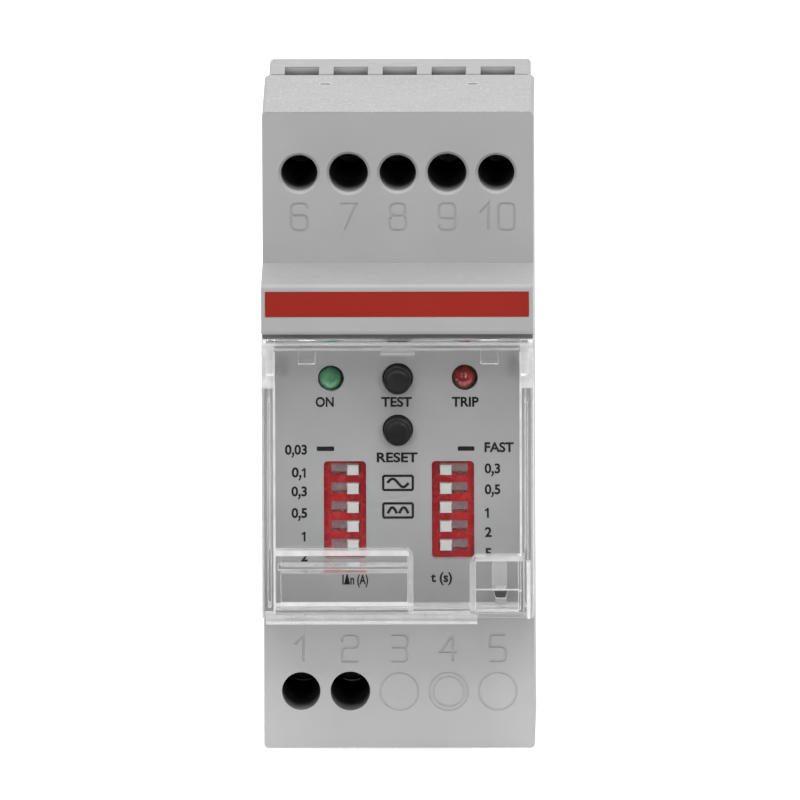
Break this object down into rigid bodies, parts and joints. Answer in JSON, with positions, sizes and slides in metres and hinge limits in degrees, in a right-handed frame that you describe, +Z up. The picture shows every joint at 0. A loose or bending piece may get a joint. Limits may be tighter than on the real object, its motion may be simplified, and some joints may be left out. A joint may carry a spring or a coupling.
{
  "type": "residual current relay",
  "caption": "Rail-mounted residual current relay with a clear hinged cover, push-buttons, lamps, sliding setting switches and screw terminals.",
  "frame": {"origin": "centre of the rail seat: middle of the width and of the rail, on the front plane of the rail flanges", "axes": "+X right, +Y back towards the rail, +Z up; the front faces -Y"},
  "size_m": [0.0358, 0.0671, 0.0856],
  "materials": {
    "housing": "light grey moulded plastic, fine spark-eroded texture",
    "clear_plastic": "clear polished polycarbonate",
    "red_strip": "printed foil, satin",
    "latch_plastic": "black moulded plastic",
    "button_plastic": "black, slightly satin",
    "switch_red": "glossy red moulding",
    "slider_white": "white moulding",
    "lens_green": "tinted diffuse epoxy",
    "lens_red": "tinted epoxy",
    "board": "green solder mask on glass fibre",
    "black_plastic": "black moulding",
    "blue_plastic": "blue relay case",
    "tinned_copper": "tin plated",
    "plated_steel": "zinc plated",
    "spring_steel": "drawn wire",
    "core_iron": "laminated iron",
    "copper_wire": "enamelled copper winding",
    "tape_yellow": "taped winding",
    "contact_metal": "contact alloy",
    "resistor_body": "lacquered"
  },
  "bodies": {
    "case": {"base_shell": "housing", "board_header": "black_plastic", "controller_chip": "black_plastic", "diodes": "black_plastic", "dip_body_left": "switch_red", "dip_body_right": "switch_red", "electrolytic_capacitors": "black_plastic", "film_capacitor": "tape_yellow", "front_board": "board", "front_shell": "housing", "label_strip": "red_strip", "latch_spring": "spring_steel", "led_green": "lens_green", "led_red": "lens_red", "main_board": "board", "relay_base": "black_plastic", "relay_case": "blue_plastic", "relay_coil": "copper_wire", "relay_contacts": "contact_metal", "relay_yoke": "core_iron", "reset_spring": "spring_steel", "reset_switch": "black_plastic", "resistors": "resistor_body", "terminal_bars_bottom": "tinned_copper", "terminal_bars_top": "tinned_copper", "test_spring": "spring_steel", "test_switch": "black_plastic", "transformer_core": "core_iron", "transformer_winding": "tape_yellow"},
    "cover": {"clear_cover": "clear_plastic"},
    "test_plunger": {"test_button": "button_plastic"},
    "reset_plunger": {"reset_button": "button_plastic"},
    "latch": {"rail_latch": "latch_plastic"},
    "slider_left_1": {"dip_slider_left_1": "slider_white"},
    "slider_left_2": {"dip_slider_left_2": "slider_white"},
    "slider_left_3": {"dip_slider_left_3": "slider_white"},
    "slider_left_4": {"dip_slider_left_4": "slider_white"},
    "slider_left_5": {"dip_slider_left_5": "slider_white"},
    "slider_right_1": {"dip_slider_right_1": "slider_white"},
    "slider_right_2": {"dip_slider_right_2": "slider_white"},
    "slider_right_3": {"dip_slider_right_3": "slider_white"},
    "slider_right_4": {"dip_slider_right_4": "slider_white"},
    "slider_right_5": {"dip_slider_right_5": "slider_white"},
    "screw_6": {"terminal_screw_6": "plated_steel"},
    "cage_6": {"terminal_cage_6": "plated_steel"},
    "screw_7": {"terminal_screw_7": "plated_steel"},
    "cage_7": {"terminal_cage_7": "plated_steel"},
    "screw_8": {"terminal_screw_8": "plated_steel"},
    "cage_8": {"terminal_cage_8": "plated_steel"},
    "screw_9": {"terminal_screw_9": "plated_steel"},
    "cage_9": {"terminal_cage_9": "plated_steel"},
    "screw_10": {"terminal_screw_10": "plated_steel"},
    "cage_10": {"terminal_cage_10": "plated_steel"},
    "screw_1": {"terminal_screw_1": "plated_steel"},
    "cage_1": {"terminal_cage_1": "plated_steel"},
    "screw_2": {"terminal_screw_2": "plated_steel"},
    "cage_2": {"terminal_cage_2": "plated_steel"},
    "armature": {"relay_armature": "core_iron"}
  },
  "joints": [
    {"name": "cover_hinge", "type": "hinge", "parent": "case", "child": "cover", "pos_m": [0, -0.0579, 0.0113], "axis": [-1, 0, 0], "range_deg": [0, 100]},
    {"name": "test_press", "type": "slide", "parent": "case", "child": "test_plunger", "axis": [0, 1, 0], "range_m": [0, 0.0012], "stiffness_N_per_m": 600, "springref_m": -0.0008, "deforming": ["test_spring"]},
    {"name": "reset_press", "type": "slide", "parent": "case", "child": "reset_plunger", "axis": [0, 1, 0], "range_m": [0, 0.0012], "stiffness_N_per_m": 600, "springref_m": -0.0008, "deforming": ["reset_spring"]},
    {"name": "latch_slide", "type": "slide", "parent": "case", "child": "latch", "axis": [0, 0, -1], "range_m": [0, 0.0045], "stiffness_N_per_m": 900, "springref_m": -0.002, "deforming": ["latch_spring"]},
    {"name": "slider_left_1_slide", "type": "slide", "parent": "case", "child": "slider_left_1", "axis": [-1, 0, 0], "range_m": [0, 0.002]},
    {"name": "slider_left_2_slide", "type": "slide", "parent": "case", "child": "slider_left_2", "axis": [-1, 0, 0], "range_m": [0, 0.002]},
    {"name": "slider_left_3_slide", "type": "slide", "parent": "case", "child": "slider_left_3", "axis": [-1, 0, 0], "range_m": [0, 0.002]},
    {"name": "slider_left_4_slide", "type": "slide", "parent": "case", "child": "slider_left_4", "axis": [-1, 0, 0], "range_m": [0, 0.002]},
    {"name": "slider_left_5_slide", "type": "slide", "parent": "case", "child": "slider_left_5", "axis": [-1, 0, 0], "range_m": [0, 0.002]},
    {"name": "slider_right_1_slide", "type": "slide", "parent": "case", "child": "slider_right_1", "axis": [1, 0, 0], "range_m": [0, 0.002]},
    {"name": "slider_right_2_slide", "type": "slide", "parent": "case", "child": "slider_right_2", "axis": [1, 0, 0], "range_m": [0, 0.002]},
    {"name": "slider_right_3_slide", "type": "slide", "parent": "case", "child": "slider_right_3", "axis": [1, 0, 0], "range_m": [0, 0.002]},
    {"name": "slider_right_4_slide", "type": "slide", "parent": "case", "child": "slider_right_4", "axis": [1, 0, 0], "range_m": [0, 0.002]},
    {"name": "slider_right_5_slide", "type": "slide", "parent": "case", "child": "slider_right_5", "axis": [1, 0, 0], "range_m": [0, 0.002]},
    {"name": "screw_6_turn", "type": "hinge", "parent": "case", "child": "screw_6", "pos_m": [-0.013, -0.021, 0.0345], "axis": [0, 1, 0], "range_deg": [0, 1802]},
    {"name": "cage_6_lift", "type": "slide", "parent": "case", "child": "cage_6", "axis": [0, -1, 0], "range_m": [0, 0.0025]},
    {"name": "screw_7_turn", "type": "hinge", "parent": "case", "child": "screw_7", "pos_m": [-0.0065, -0.021, 0.0345], "axis": [0, 1, 0], "range_deg": [0, 1802]},
    {"name": "cage_7_lift", "type": "slide", "parent": "case", "child": "cage_7", "axis": [0, -1, 0], "range_m": [0, 0.0025]},
    {"name": "screw_8_turn", "type": "hinge", "parent": "case", "child": "screw_8", "pos_m": [0, -0.021, 0.0345], "axis": [0, 1, 0], "range_deg": [0, 1802]},
    {"name": "cage_8_lift", "type": "slide", "parent": "case", "child": "cage_8", "axis": [0, -1, 0], "range_m": [0, 0.0025]},
    {"name": "screw_9_turn", "type": "hinge", "parent": "case", "child": "screw_9", "pos_m": [0.0065, -0.021, 0.0345], "axis": [0, 1, 0], "range_deg": [0, 1802]},
    {"name": "cage_9_lift", "type": "slide", "parent": "case", "child": "cage_9", "axis": [0, -1, 0], "range_m": [0, 0.0025]},
    {"name": "screw_10_turn", "type": "hinge", "parent": "case", "child": "screw_10", "pos_m": [0.013, -0.021, 0.0345], "axis": [0, 1, 0], "range_deg": [0, 1802]},
    {"name": "cage_10_lift", "type": "slide", "parent": "case", "child": "cage_10", "axis": [0, -1, 0], "range_m": [0, 0.0025]},
    {"name": "screw_1_turn", "type": "hinge", "parent": "case", "child": "screw_1", "pos_m": [-0.013, -0.021, -0.0351], "axis": [0, 1, 0], "range_deg": [0, 1802]},
    {"name": "cage_1_lift", "type": "slide", "parent": "case", "child": "cage_1", "axis": [0, -1, 0], "range_m": [0, 0.0025]},
    {"name": "screw_2_turn", "type": "hinge", "parent": "case", "child": "screw_2", "pos_m": [-0.0065, -0.021, -0.0351], "axis": [0, 1, 0], "range_deg": [0, 1802]},
    {"name": "cage_2_lift", "type": "slide", "parent": "case", "child": "cage_2", "axis": [0, -1, 0], "range_m": [0, 0.0025]},
    {"name": "armature_pull", "type": "hinge", "parent": "case", "child": "armature", "pos_m": [-0.0096, -0.0268, -0.0107], "axis": [-1, 0, 0], "range_deg": [0, 5], "stiffness_Nm_per_rad": 0.002, "springref_deg": -2.86}
  ],
  "couplings": [
    {"joint": "screw_6_turn", "follows": "cage_6_lift", "rad_per_m": 12566},
    {"joint": "screw_7_turn", "follows": "cage_7_lift", "rad_per_m": 12566},
    {"joint": "screw_8_turn", "follows": "cage_8_lift", "rad_per_m": 12566},
    {"joint": "screw_9_turn", "follows": "cage_9_lift", "rad_per_m": 12566},
    {"joint": "screw_10_turn", "follows": "cage_10_lift", "rad_per_m": 12566},
    {"joint": "screw_1_turn", "follows": "cage_1_lift", "rad_per_m": 12566},
    {"joint": "screw_2_turn", "follows": "cage_2_lift", "rad_per_m": 12566}
  ]
}
